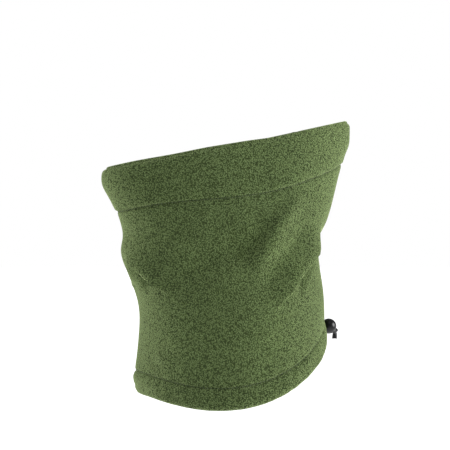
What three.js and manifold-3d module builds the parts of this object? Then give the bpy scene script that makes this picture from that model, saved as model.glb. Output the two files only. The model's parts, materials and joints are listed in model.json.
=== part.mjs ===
// Fleece neck gaiter: a tube of cloth with a deep turned-in hem round the face opening, a drawcord
// casing round the lower edge, and a spring cord lock hanging from an eyelet at the nape.
// Millimetres, +Z up. The wearer faces -Y. The origin is on the neck axis at the lower edge.

import * as THREE from 'three';
import Module from 'manifold-3d';
import { ParametricGeometry } from 'three/addons/geometries/ParametricGeometry.js';
import { mergeVertices } from 'three/addons/utils/BufferGeometryUtils.js';

const wasm = await Module();
wasm.setup();

// The worn tube: height on the neck axis, and how each rim rides up and down round the head
const TUBE_HEIGHT = 209;
const LOW_RIM_SLOPE = 24.5; // front below the axis height, nape above it
const LOW_RIM_SAG = 28; // how far the rim hangs below that slope at the shoulders
const HIGH_RIM_SLOPE = 24.5;
const HIGH_RIM_RISE = 2.5; // how far the rim climbs above its slope over the ears

// Reach from the neck axis at the two rims, and how far behind the axis each is widest
const NECK = { front: 88, back: 98, side: 87, widest: 6 };
const HEAD = { front: 118, back: 127, side: 66, widest: 28 };

// Height up the tube, and how far the cloth has gone there from the neck's reach to the head's
const FLARE = {
  front: [[0, 0], [0.2, -0.2], [0.4, -0.15], [0.6, 0.35], [0.7, 0.35], [0.8, 0.5], [0.9, 0.9], [1, 1]],
  back: [[0, 0], [0.2, -0.1], [0.4, -0.25], [0.6, 0.15], [0.8, 0.65], [1, 1]],
  side: [[0, 0], [0.3, 0.2], [0.55, 0.38], [0.75, 0.6], [1, 1]],
  widest: [[0, 0], [0.3, -0.05], [0.5, 0.1], [0.75, 0.5], [1, 1]],
};

// Cloth and its hems
const FLEECE = 2;
const LAYER_GAP = 0.5; // between the two layers of the top hem
const TOP_HEM = 50; // rim to stitching
const LOW_HEM = 20;
const RAW_EDGE = 3.5; // cloth past the stitching
const STITCH_DENT = 0.6;
const DENT_REACH = 3;
const CASING_TAPER = 4.5; // below the stitching, where the casing closes up
const ROUND_STEPS = 52;
const ROUND_STEP = 2 * Math.PI / ROUND_STEPS;
const BACK = Math.PI;

// Sewing
const THREAD_RADIUS = 0.4;
const THREAD_SIDES = 6;
const SEAM_STEPS = 4; // steps from centre back to the seam, towards the wearer's right
const SEAM_CLEAR = 4;
const THREAD_END = 0.08; // share of a step left open where a row of stitches meets itself

// Label
const LABEL = { width: 22, height: 30, thickness: 0.5, stand: 2.4, below: 3 };

// Drawcord and eyelet
const GAP = 0.3; // between pieces that touch
const CORD_RADIUS = 1.25;
const CORD_SIDES = 8;
const CORD_PITCH = CORD_RADIUS + GAP / 2; // from the middle of the pair to each cord
const CORD_LIFT = 10.5; // above the rim, round most of the casing
const EYELET_LIFT = 13;
const EYELET_PLAY = 0.55; // round the pair of cords
const EYELET_BORE = CORD_PITCH + CORD_RADIUS + EYELET_PLAY;
const EYELET_WALL = 0.3;
const EYELET_BARREL = EYELET_BORE + EYELET_WALL;
const EYELET_FLANGE = EYELET_BARREL + 1.5; // bears on the outer cloth
const EYELET_ROLL = EYELET_BARREL + 0.8; // clinched behind the washer
const EYELET_PROUD = 0.9;
const ROLL_THICKNESS = 0.4;
const WASHER = {
  inner: EYELET_BARREL + GAP,
  outer: EYELET_BARREL + 1,
  thickness: 0.4,
  stand: 0.25, // off the cloth
};
const EYELET_SIDES = 24;
const BORE_BEND = 3; // radius of the cord's turn from the casing into the eyelet
const BORE_BEND_STEPS = 5;
const CORD_SETTLE_STEPS = 6; // round steps from the eyelet to the casing's own level

// Cord lock: a ball with a spring plunger across it
const DROOP = THREE.MathUtils.degToRad(35);
const STRAND_LEAD = 1.5; // straight out of the eyelet
const STRAND_BEND = 4.5; // radius of the cords' fall from the eyelet to the lock
const STRAND_STEPS = 5;
const STRAND_GAP = 0.3; // behind the cloth's face, where the strand meets the drawcord
const BALL_RADIUS = 7.5;
const BALL_OPEN_END = 5.2; // along the plunger, from the ball's middle
const BORE_RADIUS = 4.5;
const BORE_STEP = -3.95; // the plunger's bore stops here
const BORE_FLOOR = -6; // and the spring's narrower pocket here
const PLUNGER_RADIUS = 4.2;
const PLUNGER_TRAVEL = 2.2;
const PLUNGER_WALL = 1.1;
const BUTTON_TOP = 8.4;
const DOME_RISE = 1.4;
const DOME_STEPS = 5;
const CORD_OFFSET = 1; // the cords pass this far towards the button from the ball's middle
const SLOT_CORNER = 1.2;
const MOUTH = { radius: 4.6, throat: 3, depth: 3 };
const BALL_STEPS = 8;
const SPRING = { coil: 2.9, wire: 0.25, turns: 3.5, sides: 6, steps: 14 };

// Knot
const KNOT_RADIUS = 3.2;
const KNOT_REACH = 8.7; // from the ball's middle
const KNOT_SQUASH = 0.85;
const KNOT_STEPS = { round: 16, along: 10 };
const CORD_END = { length: 5.5, spread: 0.3, root: 0.8 };

// The eyelet's depth behind the casing's outer cloth, and the casing's room for it and the cord
const EYELET_BACK = WASHER.stand + WASHER.thickness + GAP + ROLL_THICKNESS;
const CASING_PLAY = 1;
const CASING_GAP = EYELET_BACK + GAP + 2 * CORD_RADIUS + CASING_PLAY;

const SLOT_HALF_WIDTH = CORD_PITCH + CORD_RADIUS + GAP;
const SLOT_EDGE = CORD_RADIUS + GAP;
const CASING = 2 * FLEECE + CASING_GAP;
const HEM = 2 * FLEECE + LAYER_GAP;

const MATERIALS = {
  fleece: new THREE.MeshStandardMaterial({ color: 0x66764a, roughness: 0.95 }),
  thread: new THREE.MeshStandardMaterial({ color: 0x4c5a36, roughness: 0.8 }),
  label: new THREE.MeshStandardMaterial({ color: 0xe4e2da, roughness: 0.6 }),
  cord: new THREE.MeshStandardMaterial({ color: 0x16171a, roughness: 0.75 }),
  lock: new THREE.MeshStandardMaterial({ color: 0x0d0e10, roughness: 0.22 }),
  eyelet: new THREE.MeshStandardMaterial({ color: 0x2b2b2c, roughness: 0.4, metalness: 0.9 }),
  steel: new THREE.MeshStandardMaterial({ color: 0xb8bbc0, roughness: 0.3, metalness: 1 }),
};

function piece(name, geometry, material) {
  const mesh = new THREE.Mesh(geometry, MATERIALS[material]);
  mesh.name = name;
  return mesh;
}

// A closed geometry as a solid that can be cut, and back again
function solidOf(geometry) {
  const bare = geometry.clone();
  bare.deleteAttribute('normal');
  bare.deleteAttribute('uv');
  const merged = mergeVertices(bare);
  return new wasm.Manifold(new wasm.Mesh({
    numProp: 3,
    vertProperties: new Float32Array(merged.attributes.position.array),
    triVerts: new Uint32Array(merged.index.array),
  }));
}

function geometryOf(solid) {
  const mesh = solid.getMesh();
  const geometry = new THREE.BufferGeometry();
  geometry.setAttribute('position', new THREE.BufferAttribute(mesh.vertProperties, 3));
  geometry.setIndex(new THREE.BufferAttribute(mesh.triVerts, 1));
  geometry.computeVertexNormals();
  return geometry;
}

// A smooth curve through a list of stations
function smoothThrough(stations) {
  const places = stations.map((station) => station[0]);
  const values = stations.map((station) => station[1]);
  const curve = new THREE.CubicInterpolant(places, values, 1);
  return (place) => curve.evaluate(place)[0];
}

const flareAt = Object.fromEntries(
  Object.entries(FLARE).map(([side, stations]) => [side, smoothThrough(stations)]),
);

function reach(side, height) {
  return NECK[side] + (HEAD[side] - NECK[side]) * flareAt[side](height);
}

function lowRim(turn) {
  return -LOW_RIM_SLOPE * Math.cos(turn) - LOW_RIM_SAG * Math.sin(turn) ** 2;
}

function highRim(turn) {
  return TUBE_HEIGHT - HIGH_RIM_SLOPE * Math.cos(turn) + HIGH_RIM_RISE * Math.sin(turn) ** 2;
}

// A point of the cloth: turn from the front towards the wearer's left, a base height as a share of
// the tube, a lift from it in mm, and a depth inward from the outer face
function clothPoint(turn, base, lift, inward) {
  const low = lowRim(turn);
  const rise = highRim(turn) - low;
  const height = base + lift / rise;
  const widest = reach('widest', height);
  const side = reach('side', height);
  const towards = Math.cos(turn) > 0
    ? reach('front', height) + widest
    : reach('back', height) - widest;
  const out = new THREE.Vector2(Math.sin(turn) / side, -Math.cos(turn) / towards).normalize();
  return new THREE.Vector3(
    side * Math.sin(turn) - out.x * inward,
    widest - towards * Math.cos(turn) - out.y * inward,
    low + rise * height,
  );
}

// Rows of the panel between its two hems, as shares of the tube
const BODY_ROWS = [0.17, 0.24, 0.31, 0.38, 0.45, 0.52, 0.59, 0.66];
const CORNER = Math.SQRT1_2;

// The cloth's cut section, once round: each row is [base, lift, inward]
function foldedSection() {
  const casingFold = CASING / 2;
  const channelFold = CASING_GAP / 2;
  const hemFold = HEM / 2;
  const channelTop = LOW_HEM - CASING_TAPER;
  const hemRows = [-TOP_HEM + DENT_REACH, -TOP_HEM * 2 / 3, -TOP_HEM / 3, -hemFold];
  const lowRows = [casingFold, CORD_LIFT, channelTop];
  const outerFace = [
    ...lowRows.map((lift) => [0, lift, 0]),
    [0, LOW_HEM, STITCH_DENT],
    [0, LOW_HEM + DENT_REACH, 0],
    ...BODY_ROWS.map((share) => [share, 0, 0]),
    [1, -TOP_HEM - DENT_REACH, 0],
    [1, -TOP_HEM, STITCH_DENT],
    ...hemRows.map((lift) => [1, lift, 0]),
  ];
  const topFold = [
    [1, -hemFold * (1 - CORNER), hemFold * (1 - CORNER)],
    [1, 0, hemFold],
    [1, -hemFold * (1 - CORNER), hemFold * (1 + CORNER)],
  ];
  const topHemInside = [
    ...hemRows.toReversed().map((lift) => [1, lift, HEM]),
    [1, -TOP_HEM, HEM - STITCH_DENT],
    [1, -TOP_HEM - RAW_EDGE, HEM],
    [1, -TOP_HEM - RAW_EDGE, FLEECE + LAYER_GAP],
    ...[-TOP_HEM, ...hemRows].map((lift) => [1, lift, FLEECE + LAYER_GAP]),
    [1, -FLEECE, hemFold],
  ];
  const innerFace = [
    ...[...hemRows.toReversed(), -TOP_HEM, -TOP_HEM - RAW_EDGE].map((lift) => [1, lift, FLEECE]),
    ...BODY_ROWS.toReversed().map((share) => [share, 0, FLEECE]),
    [0, LOW_HEM + RAW_EDGE, FLEECE],
    [0, LOW_HEM, FLEECE],
    ...lowRows.toReversed().map((lift) => [0, lift, FLEECE]),
  ];
  const channel = [
    [0, casingFold - channelFold * CORNER, casingFold - channelFold * CORNER],
    [0, FLEECE, casingFold],
    [0, casingFold - channelFold * CORNER, casingFold + channelFold * CORNER],
    ...lowRows.map((lift) => [0, lift, FLEECE + CASING_GAP]),
    [0, LOW_HEM, FLEECE + LAYER_GAP],
    [0, LOW_HEM + RAW_EDGE, FLEECE + LAYER_GAP],
  ];
  const casingInside = [
    [0, LOW_HEM + RAW_EDGE, HEM],
    [0, LOW_HEM, HEM - STITCH_DENT],
    ...lowRows.toReversed().map((lift) => [0, lift, CASING]),
    [0, casingFold * (1 - CORNER), casingFold * (1 + CORNER)],
    [0, 0, casingFold],
    [0, casingFold * (1 - CORNER), casingFold * (1 - CORNER)],
  ];
  return [outerFace, topFold, topHemInside, innerFace, channel, casingInside].flat();
}

// The eyelet's place on the cloth, and how far the sloping cloth stands proud beside it
const eyeletFace = clothPoint(BACK, 0, EYELET_LIFT, 0);
const slope = [-1, 1].map((way) => (
  clothPoint(BACK, 0, EYELET_LIFT + way * EYELET_FLANGE, 0).y - eyeletFace.y
));
const wallRise = Math.max(0, ...slope);
const wallDrop = Math.max(0, ...slope.map((rise) => -rise));
const eyeletSeat = eyeletFace.clone().setY(eyeletFace.y + wallRise);

// One panel of fleece, sewn into a tube, with both edges turned in
function fleeceTube() {
  const section = foldedSection();
  const tube = new ParametricGeometry((round, along, target) => {
    const row = section[Math.round(along * section.length) % section.length];
    target.copy(clothPoint(round * 2 * Math.PI, ...row));
  }, ROUND_STEPS, section.length);
  const punch = new THREE.CylinderGeometry(
    EYELET_BARREL + GAP,
    EYELET_BARREL + GAP,
    2 * (FLEECE + CASING_GAP / 2),
    EYELET_SIDES,
  );
  punch.translate(eyeletFace.x, eyeletFace.y, eyeletFace.z);
  return piece('fleece_tube', geometryOf(solidOf(tube).subtract(solidOf(punch))), 'fleece');
}

// A route whose steps fall exactly on its points
class Route extends THREE.CatmullRomCurve3 {
  constructor(points) {
    super(points, false, 'centripetal');
  }

  getPointAt(share) {
    return this.getPoint(share);
  }

  getTangentAt(share) {
    return this.getTangent(share);
  }
}

function roundSection(radius, sides) {
  const points = [];
  for (let i = 0; i < sides; i += 1) {
    const angle = 2 * Math.PI * i / sides;
    points.push(new THREE.Vector2(radius * Math.cos(angle), radius * Math.sin(angle)));
  }
  return new THREE.Shape(points);
}

function tubeAlong(points, radius, sides) {
  return new THREE.ExtrudeGeometry(roundSection(radius, sides), {
    extrudePath: new Route(points),
    steps: points.length - 1,
    bevelEnabled: false,
  });
}

// A row of stitches lying in the dent of a hem, open where it meets itself at the seam
function hemThread(name, base, lift) {
  const first = BACK + SEAM_STEPS * ROUND_STEP;
  const points = [];
  for (let i = 0; i <= ROUND_STEPS; i += 1) {
    const trim = THREAD_END * (Number(i === 0) - Number(i === ROUND_STEPS));
    const turn = first + (i + trim) * ROUND_STEP;
    points.push(clothPoint(turn, base, lift, STITCH_DENT - GAP - THREAD_RADIUS));
  }
  return piece(name, tubeAlong(points, THREAD_RADIUS, THREAD_SIDES), 'thread');
}

// The seam that makes the panel a tube, between the two hems
function seamThread() {
  const turn = BACK + SEAM_STEPS * ROUND_STEP;
  const stand = -GAP - THREAD_RADIUS;
  const points = [
    clothPoint(turn, 0, LOW_HEM + SEAM_CLEAR, stand),
    ...BODY_ROWS.map((share) => clothPoint(turn, share, 0, stand)),
    clothPoint(turn, 1, -TOP_HEM - SEAM_CLEAR, stand),
  ];
  return piece('back_seam_thread', tubeAlong(points, THREAD_RADIUS, THREAD_SIDES), 'thread');
}

// A folded label caught under the top hem's stitches, inside the nape
function careLabel() {
  const inward = FLEECE + LABEL.stand;
  const top = -TOP_HEM - RAW_EDGE - LABEL.below;
  const upper = clothPoint(BACK, 1, top, inward);
  const lower = clothPoint(BACK, 1, top - LABEL.height, inward);
  const label = piece(
    'care_label',
    new THREE.BoxGeometry(LABEL.width, LABEL.thickness, LABEL.height),
    'label',
  );
  label.position.addVectors(upper, lower).multiplyScalar(0.5);
  label.rotation.x = -Math.atan2(upper.y - lower.y, upper.z - lower.z);
  return label;
}

// A rolled eyelet through the casing's outer cloth; its axis is the lathe's own
function eyelet() {
  const back = -wallRise - wallDrop - FLEECE - EYELET_BACK + ROLL_THICKNESS;
  const section = [
    [EYELET_BORE, back - ROLL_THICKNESS],
    [EYELET_ROLL, back - ROLL_THICKNESS],
    [EYELET_ROLL, back],
    [EYELET_BARREL, back],
    [EYELET_BARREL, GAP],
    [EYELET_FLANGE, GAP],
    [EYELET_FLANGE - GAP, EYELET_PROUD - GAP],
    [(EYELET_FLANGE + EYELET_BORE) / 2, EYELET_PROUD],
    [EYELET_BORE + GAP, EYELET_PROUD - GAP / 2],
    [EYELET_BORE, EYELET_PROUD - 2 * GAP],
    [EYELET_BORE, back - ROLL_THICKNESS],
  ].map((point) => new THREE.Vector2(...point));
  return piece('cord_eyelet', new THREE.LatheGeometry(section, EYELET_SIDES), 'eyelet');
}

function washer() {
  const face = -wallRise - wallDrop - FLEECE - WASHER.stand;
  const section = [
    [WASHER.inner, face - WASHER.thickness],
    [WASHER.outer, face - WASHER.thickness],
    [WASHER.outer, face],
    [WASHER.inner, face],
    [WASHER.inner, face - WASHER.thickness],
  ].map((point) => new THREE.Vector2(...point));
  return piece('eyelet_washer', new THREE.LatheGeometry(section, EYELET_SIDES), 'eyelet');
}

// The elastic cord in the casing: in at one side of the eyelet, round the neck, out at the other
function drawcord() {
  const depth = wallDrop + FLEECE + EYELET_BACK + GAP + CORD_RADIUS;
  const mouth = [[0, STRAND_GAP - wallRise], [0, depth - BORE_BEND]];
  for (let i = 1; i <= BORE_BEND_STEPS; i += 1) {
    const angle = Math.PI / 2 * i / BORE_BEND_STEPS;
    mouth.push([
      BORE_BEND * (1 - Math.cos(angle)),
      depth - BORE_BEND * (1 - Math.sin(angle)),
    ]);
  }
  const end = (side) => mouth.map(([across, deep]) => new THREE.Vector3(
    side * across,
    eyeletFace.y - deep,
    eyeletFace.z + side * CORD_PITCH,
  ));
  const round = [];
  for (let i = 1; i < ROUND_STEPS; i += 1) {
    const side = i * 2 < ROUND_STEPS ? 1 : -1;
    const away = Math.min(i, ROUND_STEPS - i) / CORD_SETTLE_STEPS;
    const level = EYELET_LIFT + side * CORD_PITCH - CORD_LIFT;
    const lift = CORD_LIFT + level * Math.max(0, 1 - away);
    round.push(clothPoint(BACK - i * ROUND_STEP, 0, lift, depth));
  }
  const points = [...end(1), ...round, ...end(-1).toReversed()];
  return piece('drawcord', tubeAlong(points, CORD_RADIUS, CORD_SIDES), 'cord');
}

// The lock's own frame: Y along the plunger to its button, Z along the cords, X across both
const plungerAxis = new THREE.Vector3(-1, 0, 0);
const cordAxis = new THREE.Vector3(0, Math.cos(DROOP), -Math.sin(DROOP));
const acrossAxis = new THREE.Vector3().crossVectors(plungerAxis, cordAxis);
const entry = new THREE.Vector3(
  0,
  eyeletSeat.y + STRAND_LEAD + STRAND_BEND * Math.sin(DROOP),
  eyeletSeat.z - STRAND_BEND * (1 - Math.cos(DROOP)),
);

function lockFrame() {
  const group = new THREE.Group();
  group.quaternion.setFromRotationMatrix(
    new THREE.Matrix4().makeBasis(acrossAxis, plungerAxis, cordAxis),
  );
  group.position.copy(entry)
    .addScaledVector(cordAxis, BALL_RADIUS + GAP / 2)
    .addScaledVector(plungerAxis, -CORD_OFFSET);
  return group;
}

// The short fall of one cord from the eyelet to the lock
function cordStrand(name, side) {
  const points = [eyeletSeat.clone().setZ(eyeletSeat.z + side * CORD_PITCH)];
  for (let i = 0; i <= STRAND_STEPS; i += 1) {
    const angle = DROOP * i / STRAND_STEPS;
    const radius = STRAND_BEND + side * CORD_PITCH;
    points.push(new THREE.Vector3(
      0,
      eyeletSeat.y + STRAND_LEAD + radius * Math.sin(angle),
      eyeletSeat.z - STRAND_BEND + radius * Math.cos(angle),
    ));
  }
  return piece(name, tubeAlong(points, CORD_RADIUS, CORD_SIDES), 'cord');
}

// The same cord through the lock, to the knot
function cordTail(name, side) {
  const start = -BALL_RADIUS + GAP / 2;
  const end = KNOT_REACH - KNOT_RADIUS * KNOT_SQUASH - GAP;
  const points = [start, end].map((along) => (
    new THREE.Vector3(-side * CORD_PITCH, CORD_OFFSET, along)
  ));
  return piece(name, tubeAlong(points, CORD_RADIUS, CORD_SIDES), 'cord');
}

// The opening for the pair of cords, from one height along the plunger to another
function cordSlot(low, high) {
  const shape = new THREE.Shape();
  const half = SLOT_HALF_WIDTH;
  shape.moveTo(-half + SLOT_CORNER, low);
  shape.lineTo(half - SLOT_CORNER, low);
  shape.absarc(half - SLOT_CORNER, low + SLOT_CORNER, SLOT_CORNER, -Math.PI / 2, 0);
  shape.absarc(half - SLOT_CORNER, high - SLOT_CORNER, SLOT_CORNER, 0, Math.PI / 2);
  shape.absarc(-half + SLOT_CORNER, high - SLOT_CORNER, SLOT_CORNER, Math.PI / 2, Math.PI);
  shape.absarc(-half + SLOT_CORNER, low + SLOT_CORNER, SLOT_CORNER, Math.PI, 1.5 * Math.PI);
  const slot = new THREE.ExtrudeGeometry(shape, {
    depth: 3 * BALL_RADIUS,
    bevelEnabled: false,
    curveSegments: 4,
  });
  return slot.translate(0, 0, -1.5 * BALL_RADIUS);
}

// A flared mouth where the cords leave the ball, so the knot can seat in it
function cordMouth() {
  const slope = (MOUTH.radius - MOUTH.throat) / MOUTH.depth;
  const length = MOUTH.depth + BALL_RADIUS;
  const mouth = new THREE.CylinderGeometry(
    MOUTH.throat + slope * length,
    MOUTH.throat,
    length,
    EYELET_SIDES,
  );
  const rim = Math.sqrt(BALL_RADIUS ** 2 - MOUTH.radius ** 2);
  mouth.rotateX(Math.PI / 2);
  return mouth.translate(0, CORD_OFFSET, rim - MOUTH.depth + length / 2);
}

function lockBarrel() {
  const section = [new THREE.Vector2(0, -BALL_RADIUS)];
  const top = Math.asin(BALL_OPEN_END / BALL_RADIUS);
  for (let i = 1; i <= BALL_STEPS; i += 1) {
    const angle = -Math.PI / 2 + (top + Math.PI / 2) * i / BALL_STEPS;
    section.push(new THREE.Vector2(
      BALL_RADIUS * Math.cos(angle),
      BALL_RADIUS * Math.sin(angle),
    ));
  }
  const pocket = SPRING.coil + SPRING.wire + GAP / 2;
  section.push(new THREE.Vector2(BORE_RADIUS, BALL_OPEN_END));
  section.push(new THREE.Vector2(BORE_RADIUS, BORE_STEP));
  section.push(new THREE.Vector2(pocket, BORE_STEP));
  section.push(new THREE.Vector2(pocket, BORE_FLOOR));
  section.push(new THREE.Vector2(0, BORE_FLOOR));
  const ball = solidOf(new THREE.LatheGeometry(section, EYELET_SIDES));
  const slot = solidOf(cordSlot(CORD_OFFSET - SLOT_EDGE - PLUNGER_TRAVEL, CORD_OFFSET + SLOT_EDGE));
  const mouth = solidOf(cordMouth());
  return piece('lock_barrel', geometryOf(ball.subtract(slot).subtract(mouth)), 'lock');
}

const plungerFoot = CORD_OFFSET - SLOT_EDGE - PLUNGER_WALL;

function lockPlunger() {
  const section = [new THREE.Vector2(0, plungerFoot), new THREE.Vector2(PLUNGER_RADIUS, plungerFoot)];
  for (let i = 0; i <= DOME_STEPS; i += 1) {
    const angle = Math.PI / 2 * i / DOME_STEPS;
    section.push(new THREE.Vector2(
      PLUNGER_RADIUS * Math.cos(angle),
      BUTTON_TOP - DOME_RISE * (1 - Math.sin(angle)),
    ));
  }
  const body = solidOf(new THREE.LatheGeometry(section, EYELET_SIDES));
  const slot = solidOf(cordSlot(CORD_OFFSET - SLOT_EDGE, CORD_OFFSET + SLOT_EDGE + PLUNGER_TRAVEL));
  return piece('lock_plunger', geometryOf(body.subtract(slot)), 'lock');
}

function lockSpring() {
  const low = BORE_FLOOR + SPRING.wire + GAP / 2;
  const high = plungerFoot - SPRING.wire - GAP / 2;
  const count = Math.round(SPRING.turns * SPRING.steps);
  const points = [];
  for (let i = 0; i <= count; i += 1) {
    const angle = 2 * Math.PI * i / SPRING.steps;
    points.push(new THREE.Vector3(
      SPRING.coil * Math.cos(angle),
      low + (high - low) * i / count,
      SPRING.coil * Math.sin(angle),
    ));
  }
  return piece('lock_spring', tubeAlong(points, SPRING.wire, SPRING.sides), 'steel');
}

// The overhand knot that stops the cords, and the two cut ends hanging from it
function cordKnot() {
  const ball = new THREE.SphereGeometry(KNOT_RADIUS, KNOT_STEPS.round, KNOT_STEPS.along);
  const knot = piece('cord_knot', ball, 'cord');
  knot.scale.set(1, 1, KNOT_SQUASH);
  knot.position.set(0, CORD_OFFSET, KNOT_REACH);
  return knot;
}

function cordEnd(name, side, knotPlace) {
  const top = knotPlace.z - KNOT_RADIUS - GAP;
  const points = [0, 0.5, 1].map((share) => new THREE.Vector3(
    knotPlace.x,
    knotPlace.y + side * (CORD_END.root + CORD_RADIUS / 2 + CORD_END.spread * CORD_END.length * share),
    top - CORD_END.length * share,
  ));
  return piece(name, tubeAlong(points, CORD_RADIUS, CORD_SIDES), 'cord');
}

const gaiter = new THREE.Group();
gaiter.add(fleeceTube());
gaiter.add(hemThread('top_hem_thread', 1, -TOP_HEM));
gaiter.add(hemThread('low_hem_thread', 0, LOW_HEM));
gaiter.add(seamThread());
gaiter.add(careLabel());
gaiter.add(drawcord());
gaiter.add(cordStrand('left_cord_strand', 1));
gaiter.add(cordStrand('right_cord_strand', -1));

const fitting = new THREE.Group();
fitting.position.copy(eyeletSeat);
fitting.add(eyelet());
fitting.add(washer());
gaiter.add(fitting);

const lock = lockFrame();
lock.add(lockBarrel());
lock.add(lockPlunger());
lock.add(lockSpring());
lock.add(cordTail('left_cord_tail', 1));
lock.add(cordTail('right_cord_tail', -1));
lock.add(cordKnot());
gaiter.add(lock);

const knotPlace = lock.position.clone()
  .addScaledVector(plungerAxis, CORD_OFFSET)
  .addScaledVector(cordAxis, KNOT_REACH);
gaiter.add(cordEnd('left_cord_end', 1, knotPlace));
gaiter.add(cordEnd('right_cord_end', -1, knotPlace));

export default gaiter;
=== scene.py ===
"""Fleece neck gaiter with a deep top hem, a drawcord casing and a ball cord lock at the nape."""

import json
import math
import random

import bmesh
import bpy
import numpy as np
from mathutils import Matrix, Vector
from mathutils.bvhtree import BVHTree


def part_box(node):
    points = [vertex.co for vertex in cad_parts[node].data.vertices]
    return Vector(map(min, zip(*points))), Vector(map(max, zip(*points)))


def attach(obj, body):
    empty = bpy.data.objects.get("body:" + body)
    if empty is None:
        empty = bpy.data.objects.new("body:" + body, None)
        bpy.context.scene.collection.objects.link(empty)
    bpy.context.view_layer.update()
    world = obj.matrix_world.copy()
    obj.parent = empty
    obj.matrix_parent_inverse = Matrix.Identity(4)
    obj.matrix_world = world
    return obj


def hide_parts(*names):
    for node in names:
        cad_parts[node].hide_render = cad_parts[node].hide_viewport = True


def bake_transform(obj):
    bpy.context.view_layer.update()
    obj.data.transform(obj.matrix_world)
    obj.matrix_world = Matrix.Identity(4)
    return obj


MM = 0.001

# Cloth: anti-pill fleece, sewn with a deep turned-in hem above and a drawcord casing below
FLEECE = 2 * MM
HEM_GAP = 0.5 * MM
CASING_GAP = 4.6 * MM
TOP_HEM = 45.5 * MM
HEM_SAG = 3.6 * MM  # the hem is deeper by this at the sides, and shallower at the chin and nape
LOW_HEM = 20 * MM
RAW_EDGE = 3.5 * MM
CLOTH_REACH = 95 * MM  # turns are laid out as lengths round a tube of this reach
COLUMNS = 279
COLUMNS_TURN = math.radians(70)  # the columns stand closest on this side, where the cloth folds
COLUMNS_CROWD = 0.35
MIDDLE_ROWS = 84
ROLL_IN = 2.6 * MM  # how far the turned rim of the top hem leans in
SEAM_TURN = math.radians(207.7)  # behind the neck, towards the wearer's right

# Sewn cloth: how far it stands in or out, and over what length
HEM_DENT = 1 * MM
CASING_DENT = 1.1 * MM
DENT_WIDTH = 1 * MM
TROUGH, TROUGH_WIDTH = 0.5 * MM, 4 * MM  # the cloth sinks to both sides of a row of stitches
PUCKER, PUCKER_WIDTH = 0.3 * MM, 6 * MM
HEM_PROUD, HEM_SHOULDER = 0.8 * MM, 3 * MM
CASING_FILL, CASING_SHOULDER = 0.9 * MM, 6 * MM
SEAM_DENT, SEAM_DENT_WIDTH = 0.9 * MM, 1.6 * MM
SEAM_RIDGE, SEAM_RIDGE_WIDTH = 0.4 * MM, 6 * MM
ROLL_WIDTH = 3.2 * MM
CHIN_ROLL = 0.8  # the rim leans in by this share more at the chin
SLACK = 0.25 * MM  # soft waves all over the cloth
STITCH_PITCH = 3.2 * MM
STITCH_LENGTH = 2.5 * MM
THREAD = 0.28 * MM

# Reading the frame's tube
READ_FROM = 0.3  # m from the neck axis, outside the cloth
READ_TURNS = 72
READ_HEIGHTS = 26
READ_MARGIN = 6 * MM
RIM_HALVINGS = 18
SLOPE_STEP = 0.4 * MM
RIPPLES_KEPT = 11
HEIGHT_TERMS = 11

# Drawcord hardware
CORD_WIDTH = 2.5 * MM
BALL_RADIUS = 7.5 * MM
BALL_OPEN_END = 5.2 * MM
BORE_RADIUS = 4.5 * MM
BORE_STEP = 3.95 * MM
POCKET_FLOOR = 6 * MM
POCKET_RADIUS = 3.3 * MM
PLUNGER_RADIUS = 4.2 * MM
PLUNGER_WALL = 1.1 * MM
BUTTON_REACH = 8.4 * MM
PRESS_TRAVEL = 2.2 * MM
PLAY = 0.3 * MM
CORD_OFFSET = 1 * MM  # the cords pass this far towards the button from the ball's middle
CORD_PITCH = (CORD_WIDTH + PLAY) / 2
SLOT_HALF = CORD_PITCH + CORD_WIDTH / 2 + PLAY
MOUTH_REACH = 4.6 * MM
MOUTH_THROAT = 3 * MM
MOUTH_DEPTH = 3 * MM
KNOT_LOBE = 0.72 * MM
KNOT_LAY = 1.2 * MM
KNOT_CORD = 1.15 * MM  # the cord is pulled a little thinner in the knot and its ends
EYELET_PROUD = 0.9 * MM
EYELET_PLAY = 0.55 * MM
EYELET_HOLE = 3.1 * MM
SEAT_REACH = 6.5 * MM


def linear(code):
    """An sRGB hex colour as Blender's linear colour."""
    parts = [int(code[i : i + 2], 16) / 255 for i in (1, 3, 5)]
    return [p / 12.92 if p < 0.04045 else ((p + 0.055) / 1.055) ** 2.4 for p in parts] + [1]


def soft_step(x):
    x = np.clip(x, 0, 1)
    return x * x * (3 - 2 * x)


def bell(off, width):
    """1 at no distance, and soon nothing beyond the width."""
    return np.exp(-((off / width) ** 2))


def select_only(*pieces):
    bpy.ops.object.select_all(action="DESELECT")
    for piece in pieces:
        piece.select_set(True)
    bpy.context.view_layer.objects.active = pieces[-1]


def name_piece(piece, name):
    """Puts the piece's place into its mesh and names both."""
    select_only(piece)
    bpy.ops.object.transform_apply(location=True, rotation=True, scale=True)
    piece.name = name
    piece.data.name = name
    return piece


def finish_piece(piece, node_or_body, material, smooth=35):
    """Smooth shading, the material and the body that the piece rides on."""
    select_only(piece)
    bpy.ops.object.shade_smooth_by_angle(angle=math.radians(smooth))
    piece.data.materials.clear()
    piece.data.materials.append(material)
    if node_or_body:
        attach(piece, node_or_body)
    return piece


def apply_all(piece):
    select_only(piece)
    for modifier in list(piece.modifiers):
        bpy.ops.object.modifier_apply(modifier=modifier.name)


def mesh_piece(name, points, faces):
    mesh = bpy.data.meshes.new(name)
    mesh.from_pydata([tuple(p) for p in points], [], [tuple(f) for f in faces])
    mesh.update()
    piece = bpy.data.objects.new(name, mesh)
    bpy.context.collection.objects.link(piece)
    return piece


# ---------------------------------------------------------------- materials

def new_material(name):
    material = bpy.data.materials.new(name)
    material.use_nodes = True
    material.node_tree.nodes.clear()
    return material


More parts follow.
